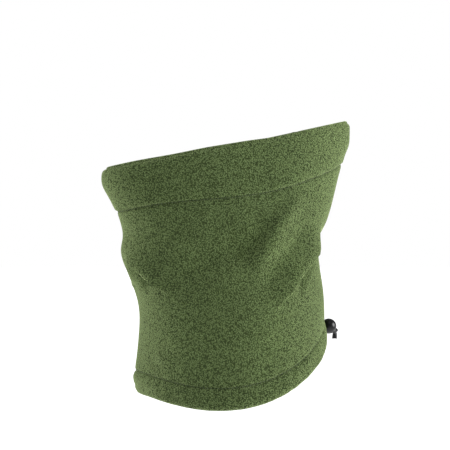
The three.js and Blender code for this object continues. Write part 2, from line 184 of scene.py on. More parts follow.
def add(material, kind, links=None, **settings):
    """Adds a node. Settings are its properties or its input sockets; links are socket: source."""
    tree = material.node_tree
    node = tree.nodes.new(kind)
    for key, value in settings.items():
        if hasattr(node, key):
            setattr(node, key, value)
        else:
            node.inputs[key.replace("_", " ")].default_value = value
    for socket, source in (links or {}).items():
        tree.links.new(source, node.inputs[socket])
    return node


def ramp(material, source, *stops):
    node = add(material, "ShaderNodeValToRGB", {"Fac": source})
    while len(node.color_ramp.elements) < len(stops):
        node.color_ramp.elements.new(0.5)
    for element, (place, code) in zip(node.color_ramp.elements, stops):
        element.position = place
        element.color = linear(code)
    return node.outputs["Color"]


def output(material, shader):
    add(material, "ShaderNodeOutputMaterial", {"Surface": shader.outputs["BSDF"]})
    return material


TUFT = 1.15 * MM  # one curl of the pile, drawn as coarse as it needs to be to show


def fleece_material():
    """Anti-pill polyester fleece: a dense matt pile of small curls with shadow between them, and
    pale fibre ends that catch the light at a glancing edge."""
    m = new_material("anti_pill_fleece")
    place = add(m, "ShaderNodeTexCoord").outputs["Object"]
    drift = add(m, "ShaderNodeTexNoise", {"Vector": place}, Scale=0.8 / TUFT, Detail=0.0)
    bent = add(m, "ShaderNodeMixRGB", {"Color1": place, "Color2": drift.outputs["Color"]},
               blend_type="LINEAR_LIGHT", Fac=0.4 * TUFT)
    curls = add(m, "ShaderNodeTexVoronoi", {"Vector": bent.outputs["Color"]},
                feature="F1", Scale=1 / TUFT)
    fibres = add(m, "ShaderNodeTexNoise", {"Vector": place}, Scale=2.2 / TUFT, Detail=1.0,
                 Roughness=0.5)
    depth = add(m, "ShaderNodeMath", {0: curls.outputs["Distance"], 1: fibres.outputs["Fac"]},
                operation="ADD")
    pits = add(m, "ShaderNodeMapRange", {"Value": depth.outputs[0]}, From_Min=0.7,
               From_Max=1.15)
    tone = ramp(m, pits.outputs["Result"], (0.0, "#6b7e50"), (0.5, "#4e5d34"), (1.0, "#2a351a"))
    patches = add(m, "ShaderNodeTexNoise", {"Vector": place}, Scale=22.0, Detail=2.0)
    shade = ramp(m, patches.outputs["Fac"], (0.3, "#efefef"), (0.7, "#ffffff"))
    worn = add(m, "ShaderNodeMixRGB", {"Color1": tone, "Color2": shade},
               blend_type="MULTIPLY", Fac=1.0)
    # the cloth darkens along the stitch rows and the back seam: partly the pressed pile's own
    # darker tone, partly painted shade of the grooves there
    pressed_pile_and_groove_shade = add(m, "ShaderNodeAttribute", attribute_name="pressed_pile_and_groove_shade")
    colour = add(m, "ShaderNodeMixRGB", {"Fac": pressed_pile_and_groove_shade.outputs["Fac"],
                                         "Color1": worn.outputs["Color"]},
                 Color2=linear("#2a361a"))
    bump = add(m, "ShaderNodeBump", {"Height": pits.outputs["Result"]}, invert=True,
               Strength=0.8, Distance=0.7 * MM)
    return output(m, add(m, "ShaderNodeBsdfPrincipled",
                         {"Base Color": colour.outputs["Color"], "Normal": bump.outputs["Normal"]},
                         Roughness=0.95, Specular_IOR_Level=0.15, IOR=1.5,
                         Sheen_Weight=0.9, Sheen_Roughness=0.26, Sheen_Tint=linear("#c3d795")))


def thread_material():
    """Spun polyester sewing thread: two plies laid round each other, low lustre."""
    m = new_material("spun_polyester_thread")
    place = add(m, "ShaderNodeTexCoord").outputs["Object"]
    plies = add(m, "ShaderNodeTexNoise", {"Vector": place}, Scale=2200.0, Detail=2.0)
    colour = ramp(m, plies.outputs["Fac"], (0.3, "#2f3a21"), (0.7, "#4d5b38"))
    bump = add(m, "ShaderNodeBump", {"Height": plies.outputs["Fac"]}, Strength=0.5,
               Distance=0.1 * MM)
    return output(m, add(m, "ShaderNodeBsdfPrincipled",
                         {"Base Color": colour, "Normal": bump.outputs["Normal"]},
                         Roughness=0.7, Sheen_Weight=0.2))


def satin_material():
    """Woven polyester satin tape, ultrasonically cut: fine floating warp threads that shine
    across their length."""
    m = new_material("woven_satin_tape")
    place = add(m, "ShaderNodeTexCoord").outputs["Object"]
    warp = add(m, "ShaderNodeTexWave", {"Vector": place}, bands_direction="X", Scale=420.0,
               Distortion=0.4, Detail=1.0)
    weft = add(m, "ShaderNodeTexWave", {"Vector": place}, bands_direction="Z", Scale=300.0,
               Distortion=0.6, Detail=1.0)
    weave = add(m, "ShaderNodeMath", {0: warp.outputs["Fac"], 1: weft.outputs["Fac"]},
                operation="MULTIPLY")
    colour = ramp(m, weave.outputs[0], (0.0, "#cfcdc3"), (1.0, "#f1efe8"))
    bump = add(m, "ShaderNodeBump", {"Height": weave.outputs[0]}, Strength=0.4,
               Distance=0.05 * MM)
    return output(m, add(m, "ShaderNodeBsdfPrincipled",
                         {"Base Color": colour, "Normal": bump.outputs["Normal"]},
                         Roughness=0.42, Sheen_Weight=0.3))


def cord_material():
    """Braided elastic cord: a black polyester sleeve of crossing yarn bundles over rubber."""
    m = new_material("braided_elastic_cord")
    place = add(m, "ShaderNodeTexCoord").outputs["Object"]
    turned = []
    for tilt in (1, -1):
        way = add(m, "ShaderNodeMapping", {"Vector": place}, Rotation=(tilt * 0.6, tilt * 0.7, 0))
        turned.append(add(m, "ShaderNodeTexWave", {"Vector": way.outputs["Vector"]}, Scale=520.0,
                          Distortion=0.5, Detail=1.0).outputs["Fac"])
    braid = add(m, "ShaderNodeMath", {0: turned[0], 1: turned[1]}, operation="MAXIMUM")
    colour = ramp(m, braid.outputs[0], (0.2, "#040405"), (1.0, "#17181a"))
    bump = add(m, "ShaderNodeBump", {"Height": braid.outputs[0]}, Strength=0.7,
               Distance=0.2 * MM)
    return output(m, add(m, "ShaderNodeBsdfPrincipled",
                         {"Base Color": colour, "Normal": bump.outputs["Normal"]},
                         Roughness=0.62, Sheen_Weight=0.15))


def acetal_material():
    """Injection-moulded black acetal: near-black, glossy, with the faint wave of the mould."""
    m = new_material("moulded_black_acetal")
    place = add(m, "ShaderNodeTexCoord").outputs["Object"]
    wave = add(m, "ShaderNodeTexNoise", {"Vector": place}, Scale=260.0, Detail=1.0)
    scuff = add(m, "ShaderNodeTexNoise", {"Vector": place}, Scale=1800.0, Detail=3.0)
    colour = ramp(m, wave.outputs["Fac"], (0.3, "#050506"), (0.7, "#0b0c0d"))
    rough = add(m, "ShaderNodeMapRange", {"Value": scuff.outputs["Fac"]}, To_Min=0.22,
                To_Max=0.34)
    bump = add(m, "ShaderNodeBump", {"Height": wave.outputs["Fac"]}, Strength=0.15,
               Distance=0.1 * MM)
    return output(m, add(m, "ShaderNodeBsdfPrincipled",
                         {"Base Color": colour, "Roughness": rough.outputs["Result"],
                          "Normal": bump.outputs["Normal"]},
                         IOR=1.42, Specular_IOR_Level=0.28))


def brass_material():
    """Stamped brass with a black oxide finish, rubbed a little brighter in places."""
    m = new_material("black_oxide_brass")
    place = add(m, "ShaderNodeTexCoord").outputs["Object"]
    wear = add(m, "ShaderNodeTexNoise", {"Vector": place}, Scale=900.0, Detail=3.0)
    colour = ramp(m, wear.outputs["Fac"], (0.35, "#1c1c1d"), (0.75, "#4b4741"))
    rough = add(m, "ShaderNodeMapRange", {"Value": wear.outputs["Fac"]}, To_Min=0.28,
                To_Max=0.45)
    return output(m, add(m, "ShaderNodeBsdfPrincipled",
                         {"Base Color": colour, "Roughness": rough.outputs["Result"]},
                         Metallic=1.0))


def steel_material():
    """Drawn spring steel wire: bright, with fine lines along the draw."""
    m = new_material("drawn_spring_steel")
    place = add(m, "ShaderNodeTexCoord").outputs["Object"]
    lines = add(m, "ShaderNodeTexNoise", {"Vector": place}, Scale=3000.0, Detail=1.0)
    colour = ramp(m, lines.outputs["Fac"], (0.3, "#9a9da1"), (0.7, "#c9ccd0"))
    return output(m, add(m, "ShaderNodeBsdfPrincipled", {"Base Color": colour},
                         Metallic=1.0, Roughness=0.3))


# ---------------------------------------------------------------- the frame's tube

def outward(turn):
    """Level directions away from the neck axis; turn is 0 at the chin and grows to +X."""
    return np.stack([np.sin(turn), -np.cos(turn), np.zeros_like(turn)], axis=-1)


class Tube:
    """The frame tube's rims and outer face, smoothed over its facets."""

    def __init__(self, node):
        mesh = node.data
        tree = BVHTree.FromPolygons([v.co for v in mesh.vertices],
                                    [tuple(p.vertices) for p in mesh.polygons])
        lowest, highest = (corner.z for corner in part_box(node.name))
        middle = (lowest + highest) / 2
        turns = np.arange(READ_TURNS) * 2 * math.pi / READ_TURNS
        ways = [Vector(way) for way in outward(turns)]

        def reach(way, height):
            start = way * READ_FROM
            hit = tree.ray_cast(Vector((start.x, start.y, height)), -way)[0]
            return hit.dot(way) if hit and hit.dot(way) > 0 else None

        def rim(way, beyond):
            inside, outside = middle, beyond
            for _ in range(RIM_HALVINGS):
                tried = (inside + outside) / 2
                if reach(way, tried) is None:
                    outside = tried
                else:
                    inside = tried
            return inside

        low = np.array([rim(way, lowest - MM) for way in ways])
        high = np.array([rim(way, highest + MM) for way in ways])
        shares = np.linspace(0, 1, READ_HEIGHTS)
        reaches = np.array([
            [reach(way, a + READ_MARGIN + share * (b - a - 2 * READ_MARGIN)) for share in shares]
            for way, a, b in zip(ways, low, high)
        ])
        terms = np.polynomial.chebyshev.chebfit(2 * shares - 1, reaches.T, HEIGHT_TERMS)
        self.low_terms = self.ripples(low)
        self.high_terms = self.ripples(high)
        self.reach_terms = np.array([self.ripples(row) for row in terms])

    @staticmethod
    def ripples(values):
        return np.fft.rfft(values)[:RIPPLES_KEPT] / len(values)

    @staticmethod
    def wave(terms, turn):
        """A smoothed round of values at any turns."""
        total = np.full(np.shape(turn), terms[0].real)
        for k in range(1, len(terms)):
            total = total + 2 * (terms[k].real * np.cos(k * turn)
                                 - terms[k].imag * np.sin(k * turn))
        return total

    def low(self, turn):
        return self.wave(self.low_terms, turn)

    def high(self, turn):
        return self.wave(self.high_terms, turn)

    def plain(self, turn, height):
        """Points on the smooth outer face."""
        low, high = self.low(turn), self.high(turn)
        share = (height - low - READ_MARGIN) / (high - low - 2 * READ_MARGIN)
        share = np.clip(share, -0.02, 1.02)
        terms = [self.wave(row, turn) for row in self.reach_terms]
        reach = sum(term * np.polynomial.chebyshev.Chebyshev.basis(k)(2 * share - 1)
                    for k, term in enumerate(terms))
        points = outward(turn) * reach[..., None]
        points[..., 2] = height
        return points

    def normal(self, turn, height, face):
        """Outward normals of a face, from its slopes round and up."""
        round_step = SLOPE_STEP / CLOTH_REACH
        across = face(turn + round_step, height) - face(turn - round_step, height)
        along = face(turn, height + SLOPE_STEP) - face(turn, height - SLOPE_STEP)
        normals = np.cross(across, along)
        return normals / np.linalg.norm(normals, axis=-1, keepdims=True)


# ---------------------------------------------------------------- folds in the worn cloth

def smooth_path(points, steps=6):
    """A curve through given points (turn in degrees, height in mm), laid out flat in m."""
    laid = [np.array([math.radians(turn) * CLOTH_REACH, height * MM]) for turn, height in points]
    laid = [2 * laid[0] - laid[1], *laid, 2 * laid[-1] - laid[-2]]
    curve = []
    for a, b, c, d in zip(laid, laid[1:], laid[2:], laid[3:]):
        for t in np.arange(steps) / steps:
            curve.append(0.5 * (2 * b + (c - a) * t + (2 * a - 5 * b + 4 * c - d) * t**2
                                + (3 * b - a - 3 * c + d) * t**3))
    curve.append(laid[-2])
    return np.array(curve)


def fold(turn, height, points, rise, left, right, fade, lean=0):
    """A ridge (or, where rise is below zero, a valley) along a path: how far it carries the cloth
    round and up, and how far it lifts it. rise and lean are in mm, and lean goes over the steeper
    side. left and right are its widths in mm to each side of the path's direction, and fade the
    share that dies away at each end."""
    path = smooth_path(points)
    middle = path[:, 0].mean() / CLOTH_REACH
    nearest_turn = middle + (turn - middle + math.pi) % (2 * math.pi) - math.pi
    flat = np.stack([nearest_turn * CLOTH_REACH, height], axis=-1)
    total = np.zeros(turn.shape + (3,))
    beyond = 3 * max(left, right) * MM
    inside = ((flat > path.min(axis=0) - beyond) & (flat < path.max(axis=0) + beyond)).all(axis=-1)
    if not inside.any():
        return total
    flat = flat[inside]
    lengths = np.linalg.norm(np.diff(path, axis=0), axis=1)
    run = np.concatenate([[0], np.cumsum(lengths)])
    near = np.full(len(flat), np.inf)
    side = np.zeros(len(flat))
    share = np.zeros(len(flat))
    over = np.zeros((len(flat), 2))
    for a, b, start, length in zip(path, path[1:], run, lengths):
        way = (b - a) / length
        off = flat - a
        along = np.clip(off @ way, 0, length)
        gap = np.linalg.norm(off - along[:, None] * way, axis=1)
        closer = gap < near
        near = np.where(closer, gap, near)
        side = np.where(closer, way[0] * off[:, 1] - way[1] * off[:, 0], side)
        share = np.where(closer, (start + along) / run[-1], share)
        over = np.where(closer[:, None], (-way[1], way[0]), over)
    width = np.where(side > 0, left, right) * MM
    ends = soft_step(share / fade) * soft_step((1 - share) / fade)
    weight = bell(near, width) * ends
    total[inside, :2] = over * (lean * MM * weight * (1 if left < right else -1))[:, None]
    total[inside, 2] = rise * MM * weight
    return total


# turn and height pairs, rise, width to the left and to the right of the path, fade, and lean
FOLDS = [
    # the sharp fold that runs down from the nape, and the cloth lying back behind it
    ([(150, 125), (130, 105), (115, 85), (100, 50)], 8.5, 2.4, 13, 0.3, 6.5),
    ([(150, 110), (130, 85), (120, 60)], -3.2, 4.5, 7, 0.35),
    ([(140, 125), (160, 115), (180, 105)], -4, 12, 12, 0.35),
    # the broad fold above it, with a hollow on each side
    ([(130, 160), (110, 135), (85, 90)], 4.5, 9, 8, 0.35),
    ([(135, 135), (110, 100), (90, 70)], -4.5, 9, 9, 0.35),
    ([(105, 135), (90, 115), (70, 90)], -6, 12, 15, 0.4),
    # the cloth laid over itself under the chin
    ([(0, 102), (20, 95), (35, 67)], 9, 10, 2.4, 0.28, 6.5),
    ([(-5, 90), (10, 85), (20, 70)], -5.5, 4.5, 6, 0.3),
    ([(-10, 73), (5, 73)], -1.8, 2.6, 2.6, 0.4),
    ([(-10, 67), (5, 67)], -1.2, 2.4, 2.4, 0.4),
    ([(-20, 106), (10, 105)], 2.2, 10, 14, 0.4),
    ([(-15, 122), (15, 122)], -1.2, 7, 7, 0.4),
    # the stiff top hem stands out round the face and the crown
    ([(-36, 172), (0, 169), (36, 174)], 1.6, 9, 9, 0.3),
    ([(144, 206), (180, 211), (216, 206)], 2.6, 11, 10, 0.3),
    # the front of the casing turns in under the chin
    ([(-34, -24), (0, -25), (30, -27)], -6, 7, 7, 0.4),
    # the slack side
    ([(90, 130), (65, 105), (40, 80)], -7, 14, 24, 0.4),
    ([(18, 14), (26, 10), (38, 4)], 1.4, 5, 5, 0.4),
    # the other side of the neck
    ([(-153, 120), (-138, 100), (-122, 80), (-104, 62)], 5.2, 15, 2.8, 0.3, 4),
    ([(-162, 92), (-142, 78), (-124, 58)], -5, 14, 12, 0.35),
    ([(-130, 158), (-118, 136), (-102, 112), (-88, 96)], 5, 9, 8, 0.35),
    ([(-120, 150), (-104, 128), (-88, 110)], -4.5, 9, 9, 0.35),
    ([(-84, 130), (-62, 110), (-46, 92)], -4.5, 18, 18, 0.45),
    ([(-40, 84), (-26, 76), (-12, 74)], 2.4, 5, 4, 0.4),
    # soft slack at the nape
    ([(172, 120), (178, 96), (185, 70)], -2.5, 12, 12, 0.45),
    ([(196, 150), (190, 128), (192, 100)], 2.5, 10, 10, 0.45),
]


class Cloth:
    """The worn outer face of the fleece: the frame's tube with folds, hem dents and puckers."""

    def __init__(self, tube, seat):
        self.tube = tube
        self.seat = np.array(seat)
        draw = random.Random(11)
        self.slack = [(draw.choice([2, 3, 4, 5, 7]), draw.uniform(10, 34), draw.uniform(0, 6.28),
                       draw.uniform(0, 6.28)) for _ in range(12)]
        self.puckers = [(draw.randint(26, 74), draw.uniform(0, 6.28)) for _ in range(9)]

    def seam_off(self, turn):
        """Distance round the cloth from the back seam."""
        return ((turn - SEAM_TURN + math.pi) % (2 * math.pi) - math.pi) * CLOTH_REACH

    def pull(self, turn):
        """Uneven thread tension along a row of stitches."""
        return sum(np.sin(n * turn + phase) for n, phase in self.puckers) / 3

    def drape(self, turn, height):
        """Where the worn cloth stands off the smooth tube: moved round, moved up, and lifted."""
        low, high = self.tube.low(turn), self.tube.high(turn)
        moved = np.zeros(turn.shape + (3,))
        for points, *shape in FOLDS:
            moved += fold(turn, height, points, *shape)
        total = moved[..., 2]
        for waves, up, phase, shift in self.slack:
            total = total + SLACK * np.sin(waves * turn + phase) * np.sin(
                height / (up * MM) + shift)
        above_hem = height - (high - hem_depth(turn))
        above_casing = height - (low + LOW_HEM)
        pull = self.pull(turn)
        for off, dent in ((above_hem, HEM_DENT), (above_casing, CASING_DENT)):
            total = total - dent * bell(off, DENT_WIDTH)
            total = total - TROUGH * bell(off, TROUGH_WIDTH)
            total = total + PUCKER * pull * bell(off, PUCKER_WIDTH)
        # the doubled hem stands a little prouder than the single cloth below it
        total = total + HEM_PROUD * soft_step(above_hem / HEM_SHOULDER)
        # the casing is full of cord and air
        casing = soft_step(-above_casing / CASING_SHOULDER) * (0.9 + 0.25 * pull)
        total = total + CASING_FILL * casing
        seam = self.seam_off(turn)
        total = total - SEAM_DENT * bell(seam, SEAM_DENT_WIDTH)
        total = total + SEAM_RIDGE * bell(seam, SEAM_RIDGE_WIDTH)
        roll = ROLL_IN * (1 + CHIN_ROLL * soft_step(np.cos(turn)))
        total = total - roll * bell(high - height, ROLL_WIDTH)
        return moved[..., 0] / CLOTH_REACH, moved[..., 1], total

    def face(self, turn, height):
        turn, height = np.broadcast_arrays(turn, height)
        moved_round, moved_up, lift = self.drape(turn, height)
        turn, height = turn + moved_round, height + moved_up
        normal = self.tube.normal(turn, height, self.tube.plain)
        points = self.tube.plain(turn, height) + normal * lift[..., None]
        # the eyelet's flange holds the cloth flat
        off = points - self.seat
        held = np.exp(-(((off[..., 0] ** 2 + off[..., 2] ** 2) / SEAT_REACH**2) ** 2))
        held = held * (points[..., 1] > 0)
        points[..., 1] += (self.seat[1] - points[..., 1]) * held
        return points

    def normal(self, turn, height):
        return self.tube.normal(turn, height, self.face)


def level(ways):
    """Directions laid level."""
    flat = ways * np.array([1, 1, 0])
    return flat / np.linalg.norm(flat, axis=-1, keepdims=True)


def hem_depth(turn):
    """How far the top row of stitches lies under the rim."""
    return TOP_HEM - HEM_SAG * np.cos(2 * turn)


def column_turns():
    """Turns of the cloth's columns, closer together on the folded side and at the back seam."""
    even = np.arange(COLUMNS) * 2 * math.pi / COLUMNS
    spread = even - COLUMNS_CROWD * np.sin(even - COLUMNS_TURN)
    seam = SEAM_TURN + np.array([-2.4, -1.4, -0.7, 0, 0.7, 1.4, 2.4]) * MM / CLOTH_REACH
    return np.sort(np.concatenate([spread % (2 * math.pi), seam]))


def rim_roll(face, out, radius, angles, down):
    """Cloth turned over a rim: rows on a half circle behind the face's last row."""
    fall = np.array([0, 0, -radius if down else radius])
    return [face - out * radius * (1 - math.cos(a)) + fall * math.sin(a) for a in angles]


def fleece_panel(cloth):
    """One panel of fleece: its casing turned up inside below, its hem turned down inside above."""
    tube = cloth.tube
    turn = column_turns()
    columns = len(turn)
    low, high = tube.low(turn), tube.high(turn)
    depth = hem_depth(turn)
    casing_radius = FLEECE + CASING_GAP / 2
    hem_radius = FLEECE + HEM_GAP / 2
    casing_roll = np.linspace(math.pi, 0, 12)[:-1]
    hem_roll = np.linspace(0, math.pi, 8)[1:]

    # the outer face, with its rows set close together along both rows of stitches
    near = np.array([-3.6, -2.4, -1.6, -1.0, -0.5, 0, 0.5, 1.0, 1.6, 2.4, 3.6]) * MM
    casing_rows = np.concatenate([np.linspace(casing_radius, LOW_HEM - 5 * MM, 6), LOW_HEM + near])
    start, stop = low + casing_rows[-1], high - depth + near[0]
    heights = [low + lift for lift in casing_rows]
    heights += [start + share * (stop - start) for share in np.linspace(0, 1, MIDDLE_ROWS)[1:-1]]
    heights += [high - depth + lift for lift in near]
    heights += [high + (5.5 * MM - depth) * (1 - share) - hem_radius * share
                for share in np.linspace(0, 1, 24)]

    # the inner layers
    casing_lifts = np.array([LOW_HEM + RAW_EDGE, LOW_HEM + MM, LOW_HEM, LOW_HEM - MM,
                             LOW_HEM - 4 * MM, LOW_HEM - 7 * MM, LOW_HEM - 10 * MM])
    hem_shares = np.array([0.1, 0.22, 0.34, 0.48, 0.62, 0.76, 0.86, 0.94, 0.98, 1.0, 1.02, 1.07])
    outer = len(heights)
    heights += [low + lift for lift in casing_lifts]
    heights += [high - depth * share for share in hem_shares]

    heights = np.array(heights)
    turns = np.broadcast_to(turn, heights.shape)
    face = cloth.face(turns, heights)
    out = level(cloth.normal(turns, heights))
    casing_shut = soft_step((casing_lifts - LOW_HEM + 7 * MM) / (6 * MM))
    casing_depths = 2 * casing_radius - casing_shut * (CASING_GAP - HEM_GAP)
    inner = outer + len(casing_lifts)
    rows = [face[outer + i] - out[outer + i] * depth for i, depth in enumerate(casing_depths)]
    rows += rim_roll(face[0], out[0], casing_radius, casing_roll, True)
    rows += list(face[:outer])
    rows += rim_roll(face[outer - 1], out[outer - 1], hem_radius, hem_roll, False)
    rows += [face[inner + i] - out[inner + i] * 2 * hem_radius for i in range(len(hem_shares))]

    count = len(rows)
    faces = [(row * columns + column, row * columns + (column + 1) % columns,
              (row + 1) * columns + (column + 1) % columns, (row + 1) * columns + column)
             for row in range(count - 1) for column in range(columns)]
    panel = mesh_piece("fleece_panel", np.array(rows).reshape(-1, 3), faces)

    # how hard the sewing presses the pile down, for the material, which darkens the cloth there:
    # partly the pressed pile's own darker tone, partly painted shade in the stitch grooves and the
    # back seam
    first = len(casing_depths) + len(casing_roll)
    pressed_pile_and_groove_shade = np.zeros((count, columns))
    face_heights = heights[:outer]
    off = np.minimum(abs(face_heights - (low + LOW_HEM)), abs(face_heights - (high - depth)))
    pressed_pile_and_groove_shade[first : first + outer] = 0.75 * bell(off, 0.8 * MM)
    pressed_pile_and_groove_shade = np.maximum(pressed_pile_and_groove_shade, bell(cloth.seam_off(turn), 1.3 * MM))
    layer = panel.data.attributes.new("pressed_pile_and_groove_shade", "FLOAT", "POINT")
    layer.data.foreach_set("value", pressed_pile_and_groove_shade.ravel())
    return panel


def cut_eyelet_hole(panel, seat):
    """Takes out the cloth under the eyelet's barrel."""
    mesh = bmesh.new()
    mesh.from_mesh(panel.data)
    inside = [face for face in mesh.faces
              if (face.calc_center_median() - seat).xz.length < EYELET_HOLE
              and abs(face.calc_center_median().y - seat.y) < 4 * MM]
    bmesh.ops.delete(mesh, geom=inside, context="FACES")
    mesh.to_mesh(panel.data)
    mesh.free()


def thicken_panel(panel):
    thick = panel.modifiers.new("cloth thickness", "SOLIDIFY")
    thick.thickness = FLEECE * 0.95
    thick.offset = -1
    apply_all(panel)


# ---------------------------------------------------------------- sewing

def one_stitch(length, radius):
    """One sewn stitch: a short thread that rises out of the cloth, lies flat and dives back."""
    bpy.ops.object.select_all(action="DESELECT")
    bpy.ops.mesh.primitive_cylinder_add(vertices=6, radius=radius, depth=length,
                                        rotation=(0, math.pi / 2, 0))
    stitch = bpy.context.object
    bpy.ops.object.transform_apply(location=True, rotation=True, scale=True)
    mesh = bmesh.new()
    mesh.from_mesh(stitch.data)
    bmesh.ops.subdivide_edges(mesh, edges=[e for e in mesh.edges
                                           if abs(e.verts[0].co.x - e.verts[1].co.x) > length / 2],
                              cuts=3)
    for vert in mesh.verts:
        share = abs(vert.co.x) / (length / 2)
        vert.co.z -= 2.6 * radius * share**3
        vert.co.y *= 1 - 0.25 * share**2
    mesh.to_mesh(stitch.data)
    mesh.free()
    return stitch


def sew(name, stitch, places, ways, outs):
    """Copies of one stitch along a seam, each lying along the seam on the cloth."""
    mesh = bmesh.new()
    for place, way, out in zip(places, ways, outs):
        side = np.cross(out, way)
        turn = Matrix([[way[i], side[i], out[i], place[i]] for i in range(3)] + [[0, 0, 0, 1]])
        copy = stitch.data.copy()
        copy.transform(turn)
        mesh.from_mesh(copy)
        bpy.data.meshes.remove(copy)
    data = bpy.data.meshes.new(name)
    mesh.to_mesh(data)
    mesh.free()
    row = bpy.data.objects.new(name, data)
    bpy.context.collection.objects.link(row)
    return row


def even_round(line, pitch):
    """Turns spaced evenly along a closed line round the tube."""
    fine = np.linspace(0, 2 * math.pi, 1441)
    points = line(fine)
    run = np.concatenate([[0], np.cumsum(np.linalg.norm(np.diff(points, axis=0), axis=1))])
    count = int(round(run[-1] / pitch))
    return np.interp(np.arange(count) * run[-1] / count, run, fine)


def hem_stitches(name, cloth, stitch, height_of):
    """A row of separate stitches right round the tube, at the height given for each turn."""
    def line(turn):
        return cloth.face(turn, height_of(turn))

    turns = even_round(line, STITCH_PITCH)
    places = line(turns)
    ways = line(turns + 0.002) - line(turns - 0.002)
    ways /= np.linalg.norm(ways, axis=1, keepdims=True)
    outs = cloth.normal(turns, height_of(turns))
    outs -= (outs * ways).sum(axis=1, keepdims=True) * ways
    outs /= np.linalg.norm(outs, axis=1, keepdims=True)
    return sew(name, stitch, places + outs * 0.1 * MM, ways, outs)


# ---------------------------------------------------------------- lock, knot, eyelet, label

def bolt_on(piece, name, kind, **settings):
    """Adds a modifier with its settings and applies it."""
    modifier = piece.modifiers.new(name, kind)
    for key, value in settings.items():
        setattr(modifier, key, value)
    select_only(piece)
    bpy.ops.object.modifier_apply(modifier=modifier.name)


def carve(piece, tool):
    """Takes one solid out of another."""
    bolt_on(piece, "carve", "BOOLEAN", operation="DIFFERENCE", solver="EXACT", object=tool)
    bpy.data.objects.remove(tool)


def round_edges(piece, width, angle=35, segments=3):
    bolt_on(piece, "round edges", "BEVEL", width=width, segments=segments,
            limit_method="ANGLE", angle_limit=math.radians(angle), harden_normals=False)


def spin_section(name, section, middle, axis, steps=64):
    """A ring spun from its cut section, given as (reach, along) pairs in order, both in m."""
    side = axis.orthogonal().normalized()
    mesh = bpy.data.meshes.new(name)
    points = [middle + side * reach + axis * along for reach, along in section]
    edges = [(i, (i + 1) % len(points)) for i in range(len(points))]
    mesh.from_pydata([tuple(p) for p in points], edges, [])
    ring = bpy.data.objects.new(name, mesh)
    bpy.context.collection.objects.link(ring)
    select_only(ring)
    bpy.ops.object.mode_set(mode="EDIT")
    bpy.ops.mesh.select_all(action="SELECT")
    bpy.ops.mesh.spin(steps=steps, angle=2 * math.pi, center=middle, axis=axis)
    bpy.ops.mesh.select_all(action="SELECT")
    bpy.ops.mesh.remove_doubles(threshold=0.002 * MM)
    bpy.ops.mesh.normals_make_consistent(inside=False)
    bpy.ops.object.mode_set(mode="OBJECT")
    return ring


def rounded_slot(middle, along, half_long, half_wide, corner, depth):
    """A bar with rounded edges, to cut the cords' way through the lock; along is its length."""
    bpy.ops.mesh.primitive_cube_add(size=2)
    bar = bpy.context.object
    bar.scale = (half_wide, half_long, depth)
    bpy.ops.object.transform_apply(scale=True)
    mesh = bmesh.new()
    mesh.from_mesh(bar.data)
    upright = [e for e in mesh.edges if abs(e.verts[0].co.z - e.verts[1].co.z) > depth]
    bmesh.ops.bevel(mesh, geom=upright, offset=corner, segments=6, profile=0.5,
                    affect="EDGES")
    mesh.to_mesh(bar.data)
    mesh.free()
    across = Vector((1, 0, 0))
    up = across.cross(along)
    bar.data.transform(Matrix([[across[i], up[i], along[i], middle[i]] for i in range(3)]
                              + [[0, 0, 0, 1]]))
    return bar


def lock_ball(middle, cords, along):
    """The cord lock's body: a moulded ball, cut flat round its bore, with the cords' way across."""
    bpy.ops.mesh.primitive_uv_sphere_add(segments=96, ring_count=64, radius=BALL_RADIUS,
                                         location=middle, rotation=(0, math.pi / 2, 0))
    ball = name_piece(bpy.context.object, "lock_ball")
    bpy.ops.object.mode_set(mode="EDIT")
    bpy.ops.mesh.select_all(action="SELECT")
    bpy.ops.mesh.bisect(plane_co=middle - Vector((BALL_OPEN_END, 0, 0)), plane_no=(-1, 0, 0),
                        use_fill=True, clear_outer=True)
    bpy.ops.object.mode_set(mode="OBJECT")
    for radius, floor in ((BORE_RADIUS, BORE_STEP), (POCKET_RADIUS, POCKET_FLOOR)):
        length = BALL_OPEN_END + floor + 2 * MM
        bpy.ops.mesh.primitive_cylinder_add(
            vertices=64, radius=radius, depth=length, rotation=(0, math.pi / 2, 0),
            location=middle + Vector((floor - length / 2, 0, 0)))
        carve(ball, bpy.context.object)
    carve(ball, rounded_slot(cords + Vector((PRESS_TRAVEL / 2, 0, 0)), along,
                             SLOT_HALF, CORD_WIDTH / 2 + PLAY + PRESS_TRAVEL / 2, 1.2 * MM,
                             2 * BALL_RADIUS))
    mouth_rim = math.sqrt(BALL_RADIUS**2 - MOUTH_REACH**2)
    bpy.ops.mesh.primitive_cone_add(
        vertices=64, radius1=MOUTH_THROAT, radius2=2 * MOUTH_REACH - MOUTH_THROAT,
        depth=2 * MOUTH_DEPTH, location=cords + along * mouth_rim,
        rotation=along.to_track_quat("Z", "Y").to_euler())
    carve(ball, bpy.context.object)
    round_edges(ball, 0.35 * MM)
    return ball


